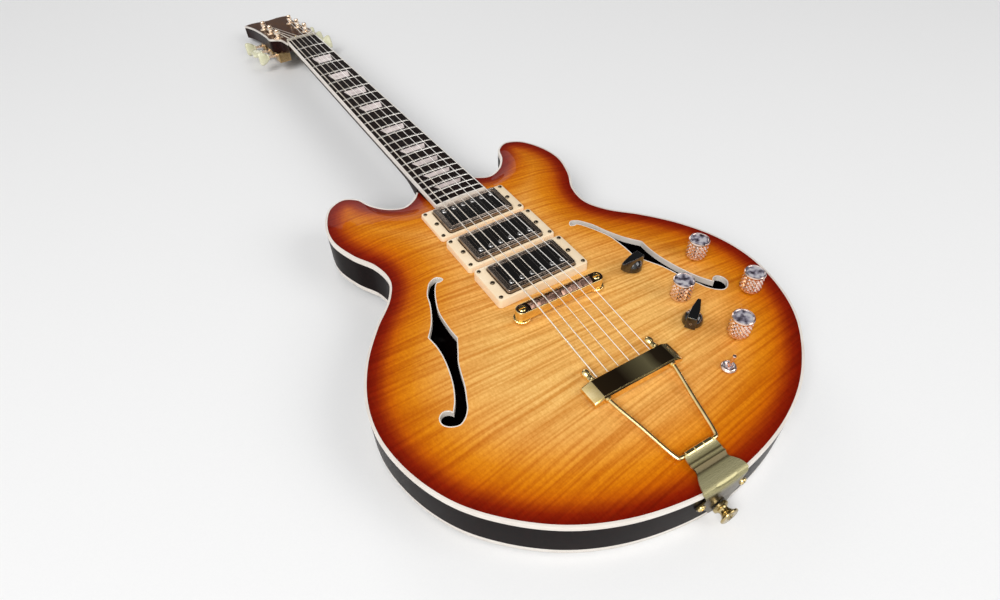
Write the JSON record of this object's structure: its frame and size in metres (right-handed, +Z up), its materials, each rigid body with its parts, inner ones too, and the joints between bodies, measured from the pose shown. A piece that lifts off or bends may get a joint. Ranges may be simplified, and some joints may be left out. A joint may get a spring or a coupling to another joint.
{
  "type": "semi-hollow electric guitar",
  "caption": "Double-cutaway semi-hollow electric guitar with arched flame-maple top, f-holes, cream-ringed pickups, bridge, trapeze tailpiece and geared tuners, lying on its back.",
  "frame": {"origin": "on the flat crown of the back, straight under the bridge end of the scale, on the middle line", "axes": "+X to the treble side, +Y to the headstock, +Z up from the back to the strings; the guitar lies on its back, its body tilted 1.07 degrees about X so that it rests on the back's crown and on the tuner cases"},
  "size_m": [0.37, 1.0423, 0.0699],
  "materials": {
    "sunburst_maple": "gloss lacquer over flame maple, amber in the middle to cherry red at the edge",
    "dark_lacquered_wood": "gloss lacquer, almost black",
    "bare_wood": "bare",
    "board_wood": "oiled, dark",
    "cream_plastic": "gloss, cream",
    "black_lacquer": "gloss black lacquer",
    "black_plastic": "satin black",
    "pearl_plastic": "gloss, pale greenish cream",
    "gold_metal": "gold plated, polished",
    "chrome": "polished",
    "steel": "plain",
    "string_steel": "bright wire, the three thick ones wound"
  },
  "bodies": {
    "guitar_body": {"body_top": "sunburst_maple", "body_back": "dark_lacquered_wood", "body_rims": "dark_lacquered_wood", "centre_block": "bare_wood", "top_binding": "cream_plastic", "back_binding": "cream_plastic", "neck": "dark_lacquered_wood", "fingerboard": "board_wood", "fingerboard_binding": "cream_plastic", "nut": "cream_plastic", "headstock_face": "black_lacquer", "truss_rod": "steel", "truss_rod_cover": "black_plastic", "string_1": "string_steel", "string_2": "string_steel", "string_3": "string_steel", "string_4": "string_steel", "string_5": "string_steel", "string_6": "string_steel", "tuner_case_1": "gold_metal", "tuner_case_2": "gold_metal", "tuner_case_3": "gold_metal", "tuner_case_4": "gold_metal", "tuner_case_5": "gold_metal", "tuner_case_6": "gold_metal", "pickup_ring_1": "cream_plastic", "pickup_ring_2": "cream_plastic", "pickup_ring_3": "cream_plastic", "bridge": "gold_metal", "bridge_post_treble": "gold_metal", "bridge_post_bass": "gold_metal", "tailpiece_bracket": "gold_metal", "tailpiece_rods": "gold_metal", "tailpiece_bar": "gold_metal", "wiring_harness": "steel", "output_jack": "chrome", "strap_button_tail": "gold_metal", "strap_button_heel": "gold_metal"},
    "post_1": {"tuner_post_1": "gold_metal"},
    "post_2": {"tuner_post_2": "gold_metal"},
    "post_3": {"tuner_post_3": "gold_metal"},
    "post_4": {"tuner_post_4": "gold_metal"},
    "post_5": {"tuner_post_5": "gold_metal"},
    "post_6": {"tuner_post_6": "gold_metal"},
    "button_1": {"tuner_button_1": "pearl_plastic"},
    "button_2": {"tuner_button_2": "pearl_plastic"},
    "button_3": {"tuner_button_3": "pearl_plastic"},
    "button_4": {"tuner_button_4": "pearl_plastic"},
    "button_5": {"tuner_button_5": "pearl_plastic"},
    "button_6": {"tuner_button_6": "pearl_plastic"},
    "pickup_1": {"humbucker_1": "chrome"},
    "pickup_2": {"humbucker_2": "chrome"},
    "pickup_3": {"humbucker_3": "chrome"},
    "volume_knob_1": {"knob_1": "chrome"},
    "volume_knob_2": {"knob_2": "chrome"},
    "tone_knob_3": {"knob_3": "chrome"},
    "tone_knob_4": {"knob_4": "chrome"},
    "selector_1": {"pointer_knob_1": "black_plastic"},
    "selector_2": {"pointer_knob_2": "black_plastic"},
    "toggle": {"toggle_lever": "chrome"}
  },
  "joints": [
    {"name": "post_1_turn", "type": "hinge", "parent": "guitar_body", "child": "post_1", "pos_m": [0.021, 0.67819, 0.04398], "axis": [0, 0.1682, 0.9858], "continuous": true},
    {"name": "post_2_turn", "type": "hinge", "parent": "guitar_body", "child": "post_2", "pos_m": [0.021, 0.71861, 0.03709], "axis": [0, 0.1682, 0.9858], "continuous": true},
    {"name": "post_3_turn", "type": "hinge", "parent": "guitar_body", "child": "post_3", "pos_m": [0.021, 0.75902, 0.03019], "axis": [0, 0.1682, 0.9858], "continuous": true},
    {"name": "post_4_turn", "type": "hinge", "parent": "guitar_body", "child": "post_4", "pos_m": [-0.021, 0.75902, 0.03019], "axis": [0, 0.1682, 0.9858], "continuous": true},
    {"name": "post_5_turn", "type": "hinge", "parent": "guitar_body", "child": "post_5", "pos_m": [-0.021, 0.71861, 0.03709], "axis": [0, 0.1682, 0.9858], "continuous": true},
    {"name": "post_6_turn", "type": "hinge", "parent": "guitar_body", "child": "post_6", "pos_m": [-0.021, 0.67819, 0.04398], "axis": [0, 0.1682, 0.9858], "continuous": true},
    {"name": "button_1_turn", "type": "hinge", "parent": "guitar_body", "child": "button_1", "pos_m": [0.021, 0.68244, 0.02073], "axis": [1, 0, 0], "continuous": true},
    {"name": "button_2_turn", "type": "hinge", "parent": "guitar_body", "child": "button_2", "pos_m": [0.021, 0.72286, 0.01384], "axis": [1, 0, 0], "continuous": true},
    {"name": "button_3_turn", "type": "hinge", "parent": "guitar_body", "child": "button_3", "pos_m": [0.021, 0.76328, 0.00694], "axis": [1, 0, 0], "continuous": true},
    {"name": "button_4_turn", "type": "hinge", "parent": "guitar_body", "child": "button_4", "pos_m": [-0.021, 0.76328, 0.00694], "axis": [-1, 0, 0], "continuous": true},
    {"name": "button_5_turn", "type": "hinge", "parent": "guitar_body", "child": "button_5", "pos_m": [-0.021, 0.72286, 0.01384], "axis": [-1, 0, 0], "continuous": true},
    {"name": "button_6_turn", "type": "hinge", "parent": "guitar_body", "child": "button_6", "pos_m": [-0.021, 0.68244, 0.02073], "axis": [-1, 0, 0], "continuous": true},
    {"name": "pickup_1_height", "type": "slide", "parent": "guitar_body", "child": "pickup_1", "axis": [0, -0.0186, 0.9998], "range_m": [-0.003, 0.001]},
    {"name": "pickup_2_height", "type": "slide", "parent": "guitar_body", "child": "pickup_2", "axis": [0, -0.0186, 0.9998], "range_m": [-0.003, 0.001]},
    {"name": "pickup_3_height", "type": "slide", "parent": "guitar_body", "child": "pickup_3", "axis": [0, -0.0186, 0.9998], "range_m": [-0.003, 0.001]},
    {"name": "knob_1_turn", "type": "hinge", "parent": "guitar_body", "child": "volume_knob_1", "pos_m": [0.13901, -0.01841, 0.04877], "axis": [0, -0.0186, 0.9998], "range_deg": [-150, 150]},
    {"name": "knob_2_turn", "type": "hinge", "parent": "guitar_body", "child": "volume_knob_2", "pos_m": [0.091, -0.05093, 0.04926], "axis": [0, -0.0186, 0.9998], "range_deg": [-150, 150]},
    {"name": "knob_3_turn", "type": "hinge", "parent": "guitar_body", "child": "tone_knob_3", "pos_m": [0.15, -0.07387, 0.04618], "axis": [0, -0.0186, 0.9998], "range_deg": [-150, 150]},
    {"name": "knob_4_turn", "type": "hinge", "parent": "guitar_body", "child": "tone_knob_4", "pos_m": [0.10149, -0.10691, 0.04763], "axis": [0, -0.0186, 0.9998], "range_deg": [-150, 150]},
    {"name": "selector_1_turn", "type": "hinge", "parent": "guitar_body", "child": "selector_1", "pos_m": [0.07949, -0.00194, 0.05017], "axis": [0, -0.0186, 0.9998], "range_deg": [-90, 60]},
    {"name": "selector_2_turn", "type": "hinge", "parent": "guitar_body", "child": "selector_2", "pos_m": [0.0785, -0.07872, 0.04874], "axis": [0, -0.0186, 0.9998], "range_deg": [-60, 90]},
    {"name": "toggle_flip", "type": "hinge", "parent": "guitar_body", "child": "toggle", "pos_m": [0.06939, -0.12869, 0.04636], "axis": [0, 0.9998, 0.0186], "range_deg": [-24, 0]}
  ],
  "couplings": [
    {"joint": "post_1_turn", "follows": "button_1_turn", "ratio": 0.066667},
    {"joint": "post_2_turn", "follows": "button_2_turn", "ratio": 0.066667},
    {"joint": "post_3_turn", "follows": "button_3_turn", "ratio": 0.066667},
    {"joint": "post_4_turn", "follows": "button_4_turn", "ratio": 0.066667},
    {"joint": "post_5_turn", "follows": "button_5_turn", "ratio": 0.066667},
    {"joint": "post_6_turn", "follows": "button_6_turn", "ratio": 0.066667}
  ]
}
